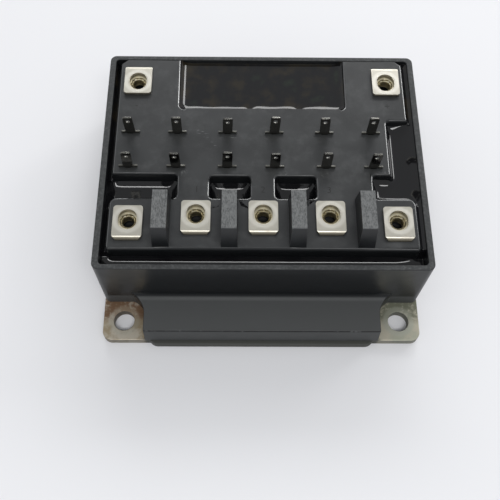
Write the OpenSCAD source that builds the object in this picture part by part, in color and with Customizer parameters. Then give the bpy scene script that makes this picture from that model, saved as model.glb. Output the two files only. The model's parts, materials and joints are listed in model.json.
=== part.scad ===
// Three-phase power semiconductor module: a metal base plate carries a potted
// plastic case, with five screw terminals along the front edge, two at the rear
// corners and twelve push-on signal tabs between them.
// X runs along the row of five terminals, Y towards the two rear terminals and
// Z up. The origin is the centre of the mounting face.

/* [Housing] */
// Width of the case, along the terminal row
body_w = 92; // [90:0.5:98]
// Depth of the case, front wall to rear wall
body_d = 71; // [70.5:0.5:76]
// Height of the rim above the mounting face
body_h = 27.5; // [26:0.5:33]
// Thickness of the left and right walls at the rim
side_wall = 1.85; // [1.5:0.05:2.2]
// Thickness of the front and rear walls at the rim
end_wall = 1.5; // [1.2:0.05:2]
// Radius of the case's upright corners
corner_r = 1.9; // [1:0.1:3]
// How far the lid bears on the shelf inside the case
shelf_bearing = 1.35; // [0.8:0.05:2]

/* [Base plate] */
// Thickness of the base plate
base_t = 3; // [2:0.25:4]
// Length of the mounting ears beyond the case
ear_reach = 11.6; // [10.5:0.1:13]
// How far the plate's middle stands out beyond the ears
nose_reach = 1.1; // [0.4:0.1:2]
// Radius of the plate's corners
plate_r = 2.7; // [1:0.1:4]
// Distance of a mounting hole from the plate's side
hole_side_inset = 6; // [5:0.25:7]
// Distance of a mounting hole from the end of its ear
hole_end_inset = 5.85; // [5:0.05:6.2]
// Diameter of the mounting holes
mount_hole_d = 5.9; // [4.5:0.1:6.5]

/* [Ledges] */
// Height of the front and rear ledges above the base plate
ledge_h = 6; // [4:0.25:8]
// Length of a ledge at its foot, beyond the case wall
ledge_reach = 11.8; // [10.5:0.1:12.5]
// How far the ledge's outer face leans in over its height
ledge_lean = 0.9; // [0.2:0.1:1.5]
// Radius of the fillet between the ledge and the wall
ledge_fillet = 2; // [1:0.1:3]
// Radius of the washer relief round each mounting hole
washer_r = 6.3; // [5.8:0.1:7]

/* [Lid] */
// Thickness of the lid block that carries the terminals
lid_t = 8; // [7.5:0.25:9]
// Width of the resin channel beside the lid
side_moat = 1.5; // [1.1:0.1:2]
// Width of the resin channel in front of the lid
front_moat = 4.1; // [3.5:0.1:4.4]
// Cut across the lid's rear corners
rear_chamfer = 1.5; // [0.5:0.1:2]
// Depth of the resin below the lid in the channels and pockets
resin_drop = 5.5; // [4:0.25:6.5]
// Width of the resin-filled recess at the rear
recess_w = 48.6; // [44:0.2:50]
// Depth of that recess, measured from the rear wall
recess_d = 17.8; // [14:0.2:18.5]
// Depth of the resin below the lid in that recess
recess_drop = 1.5; // [0.8:0.1:3]
// Corner radius of that recess
recess_r = 1.4; // [0.8:0.1:2.5]
// Size of the outer pockets behind the ribs, from front to rear
pocket_d = 7.4; // [6.5:0.1:7.6]
// How much shorter the two closed pockets are
closed_pocket_step = 0.5; // [0:0.1:1]
// Width of the two closed pockets
pocket_w = 11.3; // [8:0.1:12]
// Corner radius of the pockets and notches
pocket_r = 1; // [0.5:0.1:1.5]
// Radius of the island corners beside the outer terminals
island_r = 2.2; // [1:0.1:3]
// Width of the notch in the lid's right side
notch_w = 6.25; // [5:0.05:7]
// Length of that notch, behind the pocket in front of it
notch_d = 18.4; // [16:0.2:19]

/* [Barrier ribs] */
// Height of the ribs between the front terminals
rib_h = 8; // [5:0.5:11]
// Length of a rib at its foot
rib_l = 15.85; // [15.5:0.05:16]
// Width of a rib at its foot
rib_w = 4.5; // [4:0.1:5]
// Width of a rib at its top
rib_top_w = 4; // [3:0.1:4]
// How far a rib's front face leans back
rib_lean = 2.9; // [0.5:0.1:4]
// How far a rib's rear face leans forward
rib_rear_lean = 1.8; // [0.5:0.1:3]

/* [Screw terminals] */
// Distance of the outer terminals from the lid's sides
terminal_inset = 5.65; // [5.2:0.05:6.5]
// Width of a terminal pad
pad_w = 8.1; // [7.5:0.1:8.5]
// Length of a terminal pad
pad_l = 10.1; // [9.6:0.1:10.3]
// Thickness of the terminal strip
strip_t = 0.8; // [0.5:0.05:1]
// Gap between a pad and the lid below it
pad_lift = 0.2; // [0.1:0.05:0.3]
// Radius of the pad's free corners
pad_r = 0.9; // [0.3:0.1:1.5]
// Width of the strip that runs down into the lid
leg_w = 6.3; // [5.5:0.1:7.2]
// Inner radius of the bend from pad to leg
bend_r = 0.4; // [0.3:0.05:0.6]
// Width of the screw hole in a pad
pad_hole_w = 5.1; // [4.4:0.1:5.6]
// Length of that hole, longer so that the bend may vary a little
pad_hole_l = 6.1; // [5.6:0.1:6.4]
// Distance of the screw hole from the leg's outer face
hole_from_leg = 5.8; // [5.5:0.1:6]
// Length of the foot that is soldered to the copper
foot_l = 3; // [1.5:0.1:4]
// Screw line of the three middle terminals, behind the lid's front face
front_row_inset = 10.4; // [9.9:0.1:10.8]
// How far the two outer terminals stand further forward
outer_shift = 1.7; // [0.5:0.1:2]
// Screw line of the two rear terminals, in front of the rear wall
rear_row_inset = 8.8; // [8.4:0.1:9.4]

/* [Captive nuts] */
// Width across flats of the nuts
nut_af = 7; // [6.5:0.1:7.4]
// Thickness of the nuts
nut_t = 3.2; // [2.6:0.1:4]
// Bore of the nuts, at the crests of their thread
nut_bore_d = 3.3; // [3.1:0.05:3.5]
// Diameter of the countersink at the mouth of the bore
nut_mouth_d = 4.7; // [4.2:0.1:5]
// Clearance round a nut in its pocket
nut_clearance = 0.1; // [0.05:0.05:0.2]
// Diameter of the screw clearance below a nut
screw_clear_d = 5.4; // [4.8:0.1:5.8]
// Depth of the screw clearance below a nut
screw_clear_h = 3; // [1.5:0.1:3]

/* [Signal tabs] */
// Width of a tab's blade
tab_w = 2.8; // [2.4:0.1:3.2]
// Thickness of the tabs
tab_t = 0.5; // [0.4:0.05:0.8]
// Height of a tab above the lid
tab_h = 7.4; // [5:0.1:9]
// Width of a tab's shoulders
shoulder_w = 5.3; // [4.5:0.1:6]
// Height of a tab's shoulders above the lid
shoulder_h = 0.8; // [0.5:0.1:1.5]
// Width of a tab's leg below the lid
tab_leg_w = 1.6; // [1:0.1:2]
// Length of a tab's foot on the copper
tab_foot_l = 2; // [1:0.1:2.4]
// Diameter of the latch hole in a tab
tab_hole_d = 1.3; // [0.8:0.1:1.6]
// Distance of the latch hole below the tab's tip
tab_hole_drop = 1.7; // [1.4:0.1:2.2]
// Distance between the two tabs of a pair
pair_pitch = 13.5; // [12.5:0.1:14.5]
// Distance of the first tabs from the lid's left side
tab_left_inset = 4.55; // [4:0.05:5.5]
// Distance of the last tabs from the lid's right side
tab_right_inset = 11.25; // [10.5:0.05:12.5]
// Distance of the front tab row behind the pockets
tab_row_inset = 2.45; // [1.5:0.05:3]
// Distance between the two tab rows
tab_row_pitch = 11.5; // [11:0.1:12.5]

/* [Circuit] */
// Thickness of the copper on each side of a ceramic tile
copper_t = 0.3; // [0.2:0.05:0.4]
// Thickness of the ceramic tiles
ceramic_t = 0.63; // [0.38:0.01:1]
// Space round each ceramic tile
tile_gap = 0.8; // [0.5:0.1:1.2]
// Bare ceramic margin round the copper
copper_margin = 0.6; // [0.4:0.1:1]
// Insulating gap between neighbouring tracks
track_gap = 1; // [0.6:0.1:1.2]
// Side of the square switch dies
switch_side = 8.4; // [6:0.1:8.6]
// Side of the square diode dies
diode_side = 6; // [4:0.1:6.4]
// Thickness of the dies
die_t = 0.35; // [0.2:0.05:0.5]
// Diameter of the bond wires
wire_d = 0.4; // [0.3:0.05:0.5]
// Level of the silicone gel above the mounting face
gel_top = 12; // [11:0.5:14]

/* [Hidden] */
$fn = 64;
eps = 0.01;

// --- case ---
wall_x = body_w/2 - side_wall;           // inner face of the side walls
wall_y = body_d/2 - end_wall;            // inner face of the end walls
lid_x = wall_x - side_moat;              // side face of the lid
lid_front = -(wall_y - front_moat);      // front face of the lid
shelf_z = body_h - lid_t;                // top of the shelf, underside of the lid
shelf_x = lid_x - shelf_bearing;         // inner face of the shelf, left and right
shelf_y = wall_y - shelf_bearing;        // inner face of the shelf, front and rear
cavity_r = 1;                            // inner corner radius of the case

// --- base plate ---
ear_y = body_d/2 + ear_reach;
nose_y = ear_y + nose_reach;
hole_x = body_w/2 - hole_side_inset;
hole_y = ear_y - hole_end_inset;
ledge_x = hole_x - washer_r;             // end of a ledge, tangent to the washer relief
nose_x = ledge_x - 1;

// --- ribs and pockets ---
terminal_pitch = (lid_x - terminal_inset)/2;
rib_gap = 0.3;                           // flat of the lid between a rib and its pocket
rib_rear = lid_front + rib_l;
pocket_y = rib_rear + rib_gap;           // front edge of all pockets
notch_y = pocket_y + pocket_d;
recess_y = wall_y - recess_d;

// --- terminals ---
TERMINAL_NAMES = ["front_terminal_1", "front_terminal_2", "front_terminal_3",
                  "front_terminal_4", "front_terminal_5",
                  "rear_terminal_left", "rear_terminal_right"];
function outer(i) = (i == 0 || i == 4) ? outer_shift : 0;
// Screw position of each terminal and the direction of its bend, -1 to the front
function terminal_x(i) = i < 5 ? (i - 2)*terminal_pitch : (i == 5 ? -2 : 2)*terminal_pitch;
function terminal_y(i) = i < 5 ? lid_front + front_row_inset - outer(i)
                               : wall_y - rear_row_inset;
function bend_side(i) = i < 5 ? -1 : 1;
pad_z = body_h + pad_lift;
bend_z = pad_z - bend_r;                 // centre of the bend
bend_out = bend_r + strip_t;             // outer radius of the bend
track_z = base_t + 2*copper_t + ceramic_t;
slot_clearance = 0.15;

// --- nuts ---
nut_top = body_h - 0.05;
nut_r = nut_af/2/cos(30);
pocket_depth = nut_t + 0.15;

// --- signal tabs ---
TAB_NAMES = ["upper_gate_tab_1", "upper_sense_tab_1", "upper_gate_tab_2",
             "upper_sense_tab_2", "upper_gate_tab_3", "upper_sense_tab_3",
             "lower_gate_tab_1", "lower_sense_tab_1", "lower_gate_tab_2",
             "lower_sense_tab_2", "lower_gate_tab_3", "lower_sense_tab_3"];
phase_pitch = (2*lid_x - tab_left_inset - tab_right_inset - pair_pitch)/2;
front_tab_y = notch_y + tab_row_inset;
rear_tab_y = front_tab_y + tab_row_pitch;
// Middle of a phase's pair of tabs
function phase_x(p) = tab_left_inset - lid_x + pair_pitch/2 + p*phase_pitch;
function tab_x(i) = phase_x(floor((i % 6)/2)) + (i % 2 - 0.5)*pair_pitch;
function tab_y(i) = i < 6 ? rear_tab_y : front_tab_y;

// --- circuit: three tiles side by side, one for each phase ---
PHASES = [0, 1, 2];
tile_w = (2*shelf_x - 4*tile_gap)/3;
tile_d = 2*(shelf_y - tile_gap);
function tile_x(p) = (p - 1)*(tile_w + tile_gap);
track_w = tile_w - 2*copper_margin;
tab_pad_w = 4;
tab_pad_d = 3.2;
lower_pads_y = front_tab_y - 1.5;        // front edge of the front row of tab pads
upper_pads_y = rear_tab_y - 1.5;
lower_strip_y = lower_pads_y - track_gap; // rear edge of the lower die strip
lower_strip_d = 9.2;
rear_strip_y = upper_pads_y + tab_pad_d + track_gap;
link_y = lower_pads_y + tab_pad_d + track_gap;
die_z = track_z + die_t;
lower_die_y = lower_strip_y - lower_strip_d/2;
upper_die_y = rear_strip_y + 5.8;
diode_dx = pair_pitch/2 + 3.4;           // diode die, to the right of the tab pair
DIE_NAMES = ["upper_switch_die_1", "upper_switch_die_2", "upper_switch_die_3",
             "lower_switch_die_1", "lower_switch_die_2", "lower_switch_die_3",
             "upper_diode_die_1", "upper_diode_die_2", "upper_diode_die_3",
             "lower_diode_die_1", "lower_diode_die_2", "lower_diode_die_3"];
function die_side(i) = i < 6 ? switch_side : diode_side;
function die_x(i) = phase_x(i % 3) + (i < 6 ? 0 : diode_dx);
function die_y(i) = floor(i/3) % 2 == 0 ? upper_die_y : lower_die_y;
// A wire starts this far in front of the centre of its die
wire_start = 1.2;
lower_wire_end = lower_strip_y - lower_strip_d - track_gap - 1;
upper_wire_end = link_y + 4.6;

PLASTIC = [0.21, 0.22, 0.23];
RESIN = [0.08, 0.08, 0.09];
PLATE_METAL = [0.62, 0.60, 0.52];
TERMINAL_METAL = [0.86, 0.85, 0.80];

// Rectangle with round corners, centred on the origin
module rounded_rect(w, d, r) {
    square([w - 2*r, d], center = true);
    square([w, d - 2*r], center = true);
    for (sx = [-1, 1], sy = [-1, 1])
        translate([sx*(w/2 - r), sy*(d/2 - r)]) circle(r);
}

// Rectangle from one corner to the opposite one, with round corners
module rounded_box(low, high, r) {
    translate((low + high)/2)
        rounded_rect(high[0] - low[0], high[1] - low[1], r);
}

// What is cut off a square corner to round it. The corner is at the origin and
// the material lies towards [sx, sy].
module corner_waste(r, sx, sy) {
    difference() {
        translate([sx > 0 ? -1 : -r, sy > 0 ? -1 : -r]) square(r + 1);
        translate([sx*r, sy*r]) circle(r);
    }
}

// Box between two corners
module block(low, high) {
    translate(low) cube(high - low);
}

// --- base plate ---

module base_plate() {
    color(PLATE_METAL)
    difference() {
        linear_extrude(base_t) {
            rounded_rect(body_w, 2*ear_y, plate_r);
            rounded_rect(2*nose_x, 2*nose_y, plate_r);
        }
        for (sx = [-1, 1], sy = [-1, 1])
            translate([sx*hole_x, sy*hole_y, -eps])
                cylinder(d = mount_hole_d, h = base_t + 2*eps);
    }
}

// --- case ---

module cavity_outline() {
    rounded_rect(2*wall_x, 2*wall_y, cavity_r);
}

module shelf_outline() {
    rounded_rect(2*shelf_x, 2*shelf_y, cavity_r);
}

// Side view of the front ledge, from the wall outwards along +X
module ledge_profile() {
    difference() {
        union() {
            polygon([[-1, 0], [ledge_reach, 0],
                     [ledge_reach - ledge_lean, ledge_h], [-1, ledge_h]]);
            translate([-1, 0]) square([1 + ledge_fillet, ledge_h + ledge_fillet]);
        }
        translate([ledge_fillet, ledge_h + ledge_fillet]) circle(ledge_fillet);
    }
}

module ledge() {
    translate([0, -body_d/2, base_t])
        rotate([90, 0, -90]) linear_extrude(2*ledge_x + 2*washer_r, center = true)
            ledge_profile();
}

module case_frame() {
    color(PLASTIC)
    difference() {
        union() {
            translate([0, 0, base_t]) linear_extrude(body_h - base_t)
                rounded_rect(body_w, body_d, corner_r);
            difference() {
                for (turn = [0, 180]) rotate(turn) ledge();
                for (sx = [-1, 1], sy = [-1, 1]) washer_relief(sx, sy);
            }
        }
        translate([0, 0, base_t - eps]) linear_extrude(body_h) shelf_outline();
        translate([0, 0, shelf_z]) linear_extrude(body_h) cavity_outline();
    }
}

// Room for a washer: the end of a ledge is square to the case and runs into the
// wall along an arc round the mounting hole.
module washer_relief(sx, sy) {
    translate([sx*hole_x, sy*hole_y, base_t - eps]) {
        cylinder(r = washer_r, h = body_h);
        translate([sx > 0 ? -washer_r : -body_w/2, sy > 0 ? 0 : -body_d/2, 0])
            cube([body_w/2 + washer_r, body_d/2, body_h]);
    }
}

// --- lid ---

module recess_outline() {
    rounded_box([-recess_w/2, recess_y], [recess_w/2, wall_y + 3], recess_r);
}

module lid_outline() {
    difference() {
        translate([-lid_x, lid_front]) square([2*lid_x, wall_y - lid_front]);
        recess_outline();
        // left pocket, open to the side channel
        rounded_box([-lid_x - 3, pocket_y], [-1.5*terminal_pitch + 3.6, notch_y], pocket_r);
        // closed pockets behind the middle ribs
        for (x = [-terminal_pitch/2, terminal_pitch/2])
            rounded_box([x - pocket_w/2, pocket_y],
                        [x + pocket_w/2, notch_y - closed_pocket_step], pocket_r);
        // right notch and the pocket in front of it
        rounded_box([lid_x - notch_w, pocket_y], [lid_x + 3, notch_y + notch_d], pocket_r);
        rounded_box([1.5*terminal_pitch + 3.4, pocket_y], [lid_x + 3, notch_y], pocket_r);
        // rear corners, cut across
        for (sx = [-1, 1])
            translate([sx*lid_x, wall_y]) rotate(45)
                square(rear_chamfer*sqrt(2), center = true);
        // front corners and islands
        for (sx = [-1, 1])
            translate([sx*lid_x, lid_front]) corner_waste(pocket_r, -sx, 1);
        for (sx = [-1, 1])
            translate([sx*lid_x, pocket_y]) corner_waste(island_r, -sx, -1);
    }
}

// Barrier rib: its front and rear faces lean, and it narrows towards the top
module rib() {
    intersection() {
        rotate([90, 0, 90]) linear_extrude(rib_w, center = true)
            polygon([[lid_front, -1], [lid_front, 0], [lid_front + rib_lean, rib_h],
                     [rib_rear - rib_rear_lean, rib_h], [rib_rear, 0], [rib_rear, -1]]);
        rotate([90, 0, 0]) linear_extrude(2*body_d, center = true)
            polygon([[-rib_w/2, -1], [rib_w/2, -1], [rib_w/2, 0], [rib_top_w/2, rib_h],
                     [-rib_top_w/2, rib_h], [-rib_w/2, 0]]);
    }
}

module nut_pocket() {
    translate([0, 0, body_h - pocket_depth]) rotate(30)
        cylinder(r = nut_r + nut_clearance/cos(30), h = pocket_depth + 1, $fn = 6);
    translate([0, 0, body_h - pocket_depth - screw_clear_h])
        cylinder(d = screw_clear_d, h = pocket_depth);
}

module terminal_lid() {
    color(PLASTIC)
    difference() {
        union() {
            translate([0, 0, shelf_z]) linear_extrude(lid_t) lid_outline();
            for (i = [-1.5:1:1.5])
                translate([i*terminal_pitch, 0, body_h]) rib();
        }
        for (i = [0:6]) {
            translate([terminal_x(i), terminal_y(i), 0]) nut_pocket();
            terminal_slot(i);
        }
        for (i = [0:11]) tab_slot(i);
    }
}

// --- screw terminals ---

// Plan of a pad and its bend, with the free corners rounded and the corners over
// the leg cut across. The cuts run on past the bend by half the leg's width.
module pad_outline() {
    rear = pad_l - hole_from_leg;
    cut_start = (pad_w - leg_w)/2 - hole_from_leg;
    difference() {
        polygon([[-pad_w/2, rear], [-pad_w/2, cut_start], [0, cut_start - pad_w/2],
                 [pad_w/2, cut_start], [pad_w/2, rear]]);
        for (sx = [-1, 1])
            translate([sx*pad_w/2, rear]) corner_waste(pad_r, -sx, -1);
    }
}

// Side view of a pad and its bend: height along +X, the way from the bend along +Y
module pad_profile() {
    translate([pad_z, bend_out - hole_from_leg]) square([strip_t, pad_l - bend_out]);
    translate([bend_z, bend_out - hole_from_leg]) intersection() {
        difference() {
            circle(bend_out);
            circle(bend_r);
        }
        translate([0, -bend_out]) square(bend_out);
    }
}

// Oval screw hole, centred on the origin
module pad_hole_outline() {
    straight = pad_hole_l - pad_hole_w;
    square([pad_hole_w, straight], center = true);
    for (sy = [-1, 1]) translate([0, sy*straight/2]) circle(d = pad_hole_w);
}

// The leg and foot of a terminal, below its bend
module leg_and_foot() {
    translate([-leg_w/2, -hole_from_leg, track_z]) {
        cube([leg_w, strip_t, bend_z - track_z]);
        cube([leg_w, foot_l, strip_t]);
    }
}

// What a pad and its bend may fill: the pad's plan above the lid, and below that
// the width of the leg
module strip_envelope() {
    clear_z = body_h + pad_lift/2;
    translate([0, 0, clear_z]) linear_extrude(2*strip_t) pad_outline();
    block([-leg_w/2, -hole_from_leg - 1, bend_z - 1], [leg_w/2, 0, clear_z]);
}

// A terminal with its screw hole over the origin and its bend towards -Y
module terminal_strip() {
    difference() {
        intersection() {
            rotate([0, -90, 0]) linear_extrude(pad_w, center = true) pad_profile();
            strip_envelope();
        }
        translate([0, 0, body_h]) linear_extrude(2*strip_t) pad_hole_outline();
    }
    leg_and_foot();
}

module place_terminal(i) {
    translate([terminal_x(i), terminal_y(i), 0])
        rotate(bend_side(i) < 0 ? 0 : 180) children();
}

module screw_terminal(i) {
    color(TERMINAL_METAL) place_terminal(i) terminal_strip();
}

// Slot in the lid round a terminal's leg
module terminal_slot(i) {
    place_terminal(i)
        block([-leg_w/2 - slot_clearance, -hole_from_leg - slot_clearance, shelf_z - 1],
              [leg_w/2 + slot_clearance, -hole_from_leg + strip_t + slot_clearance,
               body_h + 1]);
}

module nut() {
    mouth = (nut_mouth_d - nut_bore_d)/2;
    difference() {
        rotate(30) cylinder(r = nut_r, h = nut_t, $fn = 6);
        translate([0, 0, -eps]) cylinder(d = nut_bore_d, h = nut_t + 2*eps);
        translate([0, 0, nut_t - mouth])
            cylinder(d1 = nut_bore_d, d2 = nut_mouth_d, h = mouth);
    }
}

module terminal_nuts() {
    color(TERMINAL_METAL)
    for (i = [0:6])
        translate([terminal_x(i), terminal_y(i), nut_top - nut_t]) nut();
}

// --- signal tabs ---

module tab_leg(i) {
    translate([tab_x(i), tab_y(i), 0]) {
        block([-tab_leg_w/2, -tab_t/2, track_z], [tab_leg_w/2, tab_t/2, body_h + eps]);
        block([-tab_leg_w/2, -tab_t/2, track_z],
              [tab_leg_w/2, -tab_t/2 + tab_foot_l, track_z + tab_t]);
    }
}

module tab_slot(i) {
    translate([tab_x(i), tab_y(i), 0])
        block([-tab_leg_w/2 - slot_clearance, -tab_t/2 - slot_clearance, shelf_z - 1],
              [tab_leg_w/2 + slot_clearance, tab_t/2 + slot_clearance, body_h + 1]);
}

// Front view of a tab above the lid: shoulders, blade with cut corners, latch hole
module tab_profile() {
    tip = 0.6;
    difference() {
        union() {
            translate([-shoulder_w/2, 0]) square([shoulder_w, shoulder_h]);
            polygon([[-tab_w/2, 0], [-tab_w/2, tab_h - tip], [-tab_w/2 + tip/2, tab_h],
                     [tab_w/2 - tip/2, tab_h], [tab_w/2, tab_h - tip], [tab_w/2, 0]]);
        }
        translate([0, tab_h - tab_hole_drop]) circle(d = tab_hole_d);
    }
}

module signal_tab(i) {
    color(TERMINAL_METAL) {
        translate([tab_x(i), tab_y(i), body_h]) rotate([90, 0, 0])
            linear_extrude(tab_t, center = true) tab_profile();
        tab_leg(i);
    }
}

// --- circuit ---

module ceramic_tile(p) {
    color("ghostwhite")
    translate([tile_x(p), 0, base_t + copper_t + ceramic_t/2])
        cube([tile_w, tile_d, ceramic_t], center = true);
}

// Track layout of one tile, seen from above
module track_layout(p) {
    edge = tile_d/2 - copper_margin;
    lower_front = lower_strip_y - lower_strip_d;
    // front strip, under the front terminals; the outer tiles carry two
    split = p == 1 ? 9.3 : 0;
    for (side = [-1, 1])
        intersection() {
            translate([tile_x(p) - track_w/2, -edge])
                square([track_w, edge + lower_front - track_gap]);
            translate([tile_x(p) + split + side*(track_w + track_gap)/2, 0])
                square([track_w, 2*edge], center = true);
        }
    // strip of the lower dies
    translate([tile_x(p) - track_w/2, lower_front]) square([track_w, lower_strip_d]);
    // link between the tab rows
    translate([tile_x(p) - track_w/2, link_y])
        square([track_w, upper_pads_y - track_gap - link_y]);
    // strip of the upper dies, under the rear terminals
    translate([tile_x(p) - track_w/2, rear_strip_y]) square([track_w, edge - rear_strip_y]);
    // pads under the tabs
    intersection() {
        translate([tile_x(p), 0]) square([track_w, tile_d], center = true);
        for (i = [2*p, 2*p + 1, 2*p + 6, 2*p + 7])
            translate([tab_x(i) - tab_pad_w/2, i < 6 ? upper_pads_y : lower_pads_y])
                square([tab_pad_w, tab_pad_d]);
    }
}

module copper_tracks(p) {
    color("peru") {
        translate([0, 0, base_t + copper_t + ceramic_t])
            linear_extrude(copper_t) track_layout(p);
        translate([tile_x(p), 0, base_t + copper_t/2])
            cube([track_w, tile_d - 2*copper_margin, copper_t], center = true);
    }
}

module die(i) {
    color("dimgray")
    translate([die_x(i), die_y(i), track_z + die_t/2])
        cube([die_side(i), die_side(i), die_t], center = true);
}

// A half ring of wire along Y, from the top of a die to a track in front of it
module wire_arc(x, y_start, y_end) {
    r = (y_start - y_end)/2;
    translate([x, y_end + r, die_z]) rotate([90, 0, 90])
        rotate_extrude(angle = 180) translate([r, 0]) circle(d = wire_d, $fn = 24);
    translate([x, y_end, track_z]) cylinder(d = wire_d, h = die_t, $fn = 24);
}

module bond_wires(p) {
    color("silver")
    for (i = [p, p + 3, p + 6, p + 9], dx = [-0.9, 0.9])
        wire_arc(die_x(i) + dx, die_y(i) - wire_start,
                 floor(i/3) % 2 == 0 ? upper_wire_end : lower_wire_end);
}

// --- fillings ---

module legs_of_all() {
    for (i = [0:6]) place_terminal(i) leg_and_foot();
    for (i = [0:11]) tab_leg(i);
}

module silicone_gel() {
    color([0.85, 0.88, 0.9, 0.5])
    difference() {
        translate([0, 0, base_t]) linear_extrude(gel_top - base_t) shelf_outline();
        for (p = PHASES) {
            ceramic_tile(p);
            copper_tracks(p);
            bond_wires(p);
        }
        for (i = [0:11]) die(i);
        legs_of_all();
    }
}

module potting_resin() {
    color(RESIN)
    difference() {
        union() {
            translate([0, 0, gel_top]) linear_extrude(shelf_z - gel_top) shelf_outline();
            translate([0, 0, shelf_z]) linear_extrude(lid_t - resin_drop) difference() {
                cavity_outline();
                lid_outline();
            }
            translate([0, 0, shelf_z]) linear_extrude(lid_t - recess_drop) intersection() {
                cavity_outline();
                recess_outline();
            }
        }
        legs_of_all();
    }
}

base_plate();
case_frame();
terminal_lid();
potting_resin();
silicone_gel();
terminal_nuts();
for (i = [0:6])
    screw_terminal(i);
for (i = [0:11])
    signal_tab(i);
for (p = PHASES)
    ceramic_tile(p);
for (p = PHASES)
    copper_tracks(p);
for (i = [0:11])
    die(i);
for (p = PHASES)
    bond_wires(p);
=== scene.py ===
"""Dresses a potted three-phase power module: moulded plastic with worn ribs, glossy
resin that creeps up its walls, plated terminals over threaded nuts, push-on tabs and
a tarnished base plate, on a pale studio floor."""

import json
import math
import random

import bpy
import numpy as np
from mathutils import Matrix, Vector, bvhtree, noise


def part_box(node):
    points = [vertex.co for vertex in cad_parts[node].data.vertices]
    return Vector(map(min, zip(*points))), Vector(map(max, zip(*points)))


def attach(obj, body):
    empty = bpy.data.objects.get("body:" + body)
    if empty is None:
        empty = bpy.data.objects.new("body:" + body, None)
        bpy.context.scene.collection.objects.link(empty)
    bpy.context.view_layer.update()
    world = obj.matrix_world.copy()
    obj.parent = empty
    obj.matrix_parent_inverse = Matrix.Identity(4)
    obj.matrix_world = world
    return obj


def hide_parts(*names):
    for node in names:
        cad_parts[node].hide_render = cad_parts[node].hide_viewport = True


bl_info = {
    "name": "Power Module Looks",
    "version": (1, 0, 0),
    "blender": (4, 5, 0),
    "location": "View3D > Sidebar > Module",
    "description": "Finishes, edge rounding and studio for a three-phase power module",
    "category": "Object",
}

MM = 0.001
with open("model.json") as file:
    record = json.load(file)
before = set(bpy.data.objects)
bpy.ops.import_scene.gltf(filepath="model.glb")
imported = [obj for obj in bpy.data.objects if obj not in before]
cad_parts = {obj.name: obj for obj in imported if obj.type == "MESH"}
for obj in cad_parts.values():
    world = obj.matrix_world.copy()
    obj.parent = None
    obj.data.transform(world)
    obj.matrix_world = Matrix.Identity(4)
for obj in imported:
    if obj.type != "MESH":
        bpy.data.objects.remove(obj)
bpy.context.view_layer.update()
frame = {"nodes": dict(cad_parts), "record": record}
NODES = frame["nodes"]

# --- places that the frame gives ---
LID_LOW, LID_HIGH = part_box("terminal_lid")
CASE_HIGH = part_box("case_frame")[1]
PLATE_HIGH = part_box("base_plate")[1]
RESIN_LOW, RESIN_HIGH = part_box("potting_resin")
TABS = sorted(name for name in NODES if "_tab_" in name)
TERMINALS = sorted(name for name in NODES if "_terminal_" in name)
RIM_Z = CASE_HIGH.z
RIB_TOP_Z = LID_HIGH.z
FRONT_SCREWS = sum(name.startswith("front") for name in TERMINALS)

# --- places on the moulding ---
LEDGE_EDGE = CASE_HIGH.y - 1.05 * MM
LEDGE_FACE_TOP = 8.6 * MM
RIGHT_POCKET = 30 * MM
RECESS_Y = 14 * MM
RECESS_SAGS = (-3.6 * MM, 11 * MM)
TAB_CLEARANCE = 1 * MM      # the wide round of the lid stops this far from metal
TAB_LEAN = 2.5              # degrees that handling has bent the tabs, at most
TAB_BEND_Z = RIM_Z + 0.8 * MM
DIGITS_Y = -11.3 * MM
SIGNS_Y = 17.2 * MM
SMUDGES = [Vector((x * MM, y * MM, RIM_Z)) for x, y in (
    (-38.4, -6.2), (-22.3, -5.8), (6.0, -5.9), (17.5, -6.2), (34.5, -6.2))]
SCRATCHES = [Vector((x * MM, y * MM, RIM_Z)) for x, y in (
    (-18.1, 8.2), (-16.1, 6.5), (-14.0, 4.1), (-8.5, 6.0))]

# --- how the poured resin lies ---
POUR_Z = LID_LOW.z + 1 * MM  # what shows of it is above this
BRIM_GAP = 0.3 * MM          # it stays this far below the rim
RECESS_DEPTH_MOST = 3 * MM   # what is deeper than this is a pocket
GAP_SPAN = 2 * MM            # plastic this near on both sides makes a gap
GAP_SLOPE = 0.65
RIPPLE_SIZE = 6 * MM
SOFTENING = 3                # points that the corners are rounded over
SEARCH = 20                  # points that a wall is looked for within
SKIN_LAP = 0.3 * MM          # the flat block ends this far below its skin


# --- shader nodes ---

class Value:
    """A number that varies over a surface. Arithmetic on it adds Math nodes."""

    def __init__(self, finish, socket):
        self.finish = finish
        self.socket = socket

    def _math(self, operation, first, second):
        return self.finish.value("ShaderNodeMath", {"operation": operation},
                                 {0: first, 1: second})

    def __add__(self, other):
        return self._math("ADD", self, other)

    def __radd__(self, other):
        return self._math("ADD", other, self)

    def __sub__(self, other):
        return self._math("SUBTRACT", self, other)

    def __rsub__(self, other):
        return self._math("SUBTRACT", other, self)

    def __mul__(self, other):
        return self._math("MULTIPLY", self, other)

    def __rmul__(self, other):
        return self._math("MULTIPLY", other, self)

    def __abs__(self):
        return self._math("ABSOLUTE", self, 0.0)

    def greatest(self, other):
        return self._math("MAXIMUM", self, other)

    def least(self, other):
        return self._math("MINIMUM", self, other)


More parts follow.
